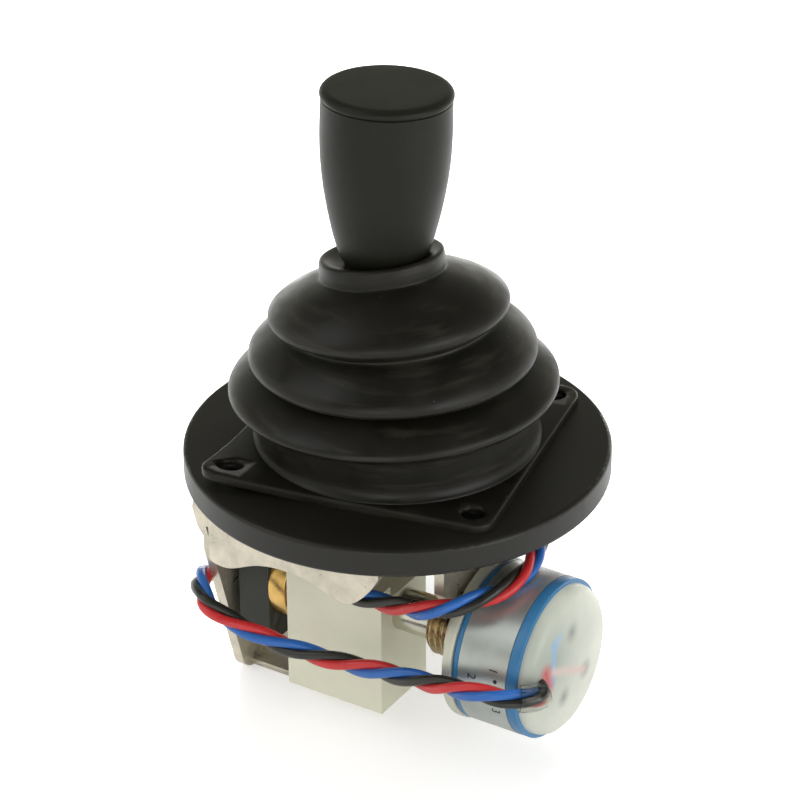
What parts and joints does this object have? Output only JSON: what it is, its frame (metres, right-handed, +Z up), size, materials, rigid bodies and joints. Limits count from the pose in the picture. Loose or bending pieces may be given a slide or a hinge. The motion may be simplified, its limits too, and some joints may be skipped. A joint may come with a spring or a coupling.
{
  "type": "industrial joystick",
  "caption": "Two-axis industrial joystick with a knob and rubber bellows over a round flange, and a geared gimbal frame with a potentiometer per axis.",
  "frame": {"origin": "centre of the flange's underside, the face that rests on the panel", "axes": "+Z up the stick, +X out along the axis of the potentiometer that reads the tilt about X, +Y out along the axis of the other one"},
  "size_m": [0.063, 0.0631, 0.0915],
  "materials": {
    "black_plastic": "moulded black plastic, fine matt grain",
    "knob_plastic": "moulded black plastic, spark-eroded matt grain",
    "black_rubber": "moulded black rubber, satin",
    "plated_steel": "bright nickel-plated sheet with light handling scratches",
    "gimbal_steel": "machined steel",
    "screw_steel": "zinc-plated steel",
    "shaft_steel": "ground steel",
    "brass": "turned brass",
    "grey_plastic": "moulded dark grey plastic",
    "white_plastic": "machined off-white acetal",
    "pot_metal": "turned nickel-plated metal",
    "blue_plastic": "moulded blue plastic",
    "label_film": "silver printed film",
    "clear_cup": "translucent moulded cap",
    "tinned_metal": "tinned terminals",
    "wire_red": "three twisted wires, red, blue and black insulation"
  },
  "bodies": {
    "frame": {"flange_plate": "black_plastic", "bellows": "black_rubber", "frame": "plated_steel", "frame_screws": "screw_steel", "bearing_block": "grey_plastic", "bearing_screws": "screw_steel", "brass_bush": "brass", "bail_bracket": "plated_steel", "pot_x_front": "pot_metal", "pot_x_case": "blue_plastic", "pot_x_label": "label_film", "pot_x_cup": "clear_cup", "pot_x_terminals": "tinned_metal", "pot_y_front": "pot_metal", "pot_y_case": "blue_plastic", "pot_y_label": "label_film", "pot_y_cup": "clear_cup", "pot_y_terminals": "tinned_metal", "lead_x": "wire_red", "lead_y": "wire_red"},
    "gimbal": {"gimbal_ring": "gimbal_steel", "gimbal_pin": "screw_steel", "gimbal_trunnions": "screw_steel", "sector_x": "brass"},
    "stick": {"stick_rod": "shaft_steel", "stick_hub": "gimbal_steel", "knob": "knob_plastic", "knob_cap": "knob_plastic", "knob_insert": "brass", "lock_nut": "screw_steel"},
    "bail": {"slotted_bail": "gimbal_steel", "bail_trunnions": "screw_steel", "sector_y": "brass"},
    "rotor_x": {"rotor_block": "white_plastic", "rotor_pivot": "screw_steel", "pot_x_shaft": "shaft_steel"},
    "rotor_y": {"pot_y_gear": "white_plastic", "pot_y_shaft": "shaft_steel"}
  },
  "joints": [
    {"name": "tilt_x", "type": "hinge", "parent": "frame", "child": "gimbal", "pos_m": [-0.00125, -0.00125, -0.00605], "axis": [1, 0, 0], "range_deg": [-15, 15], "stiffness_Nm_per_rad": 0.15, "deforming": ["bellows"]},
    {"name": "tilt_y", "type": "hinge", "parent": "gimbal", "child": "stick", "pos_m": [-0.00125, -0.00125, -0.00605], "axis": [0, 1, 0], "range_deg": [-15, 15], "stiffness_Nm_per_rad": 0.15, "deforming": ["bellows"]},
    {"name": "bail_turn", "type": "hinge", "parent": "frame", "child": "bail", "pos_m": [-0.00125, -0.00125, -0.00605], "axis": [0, 1, 0], "range_deg": [-15.5, 15.5]},
    {"name": "pot_x_turn", "type": "hinge", "parent": "frame", "child": "rotor_x", "pos_m": [-0.00125, -0.0081, -0.0168], "axis": [1, 0, 0], "range_deg": [-15.5, 15.5]},
    {"name": "pot_y_turn", "type": "hinge", "parent": "frame", "child": "rotor_y", "pos_m": [-0.0081, -0.00125, -0.0168], "axis": [0, 1, 0], "range_deg": [-15.5, 15.5]}
  ],
  "couplings": [
    {"joint": "pot_x_turn", "follows": "tilt_x", "ratio": -1},
    {"joint": "bail_turn", "follows": "tilt_y", "ratio": 1},
    {"joint": "pot_y_turn", "follows": "tilt_y", "ratio": -1}
  ]
}
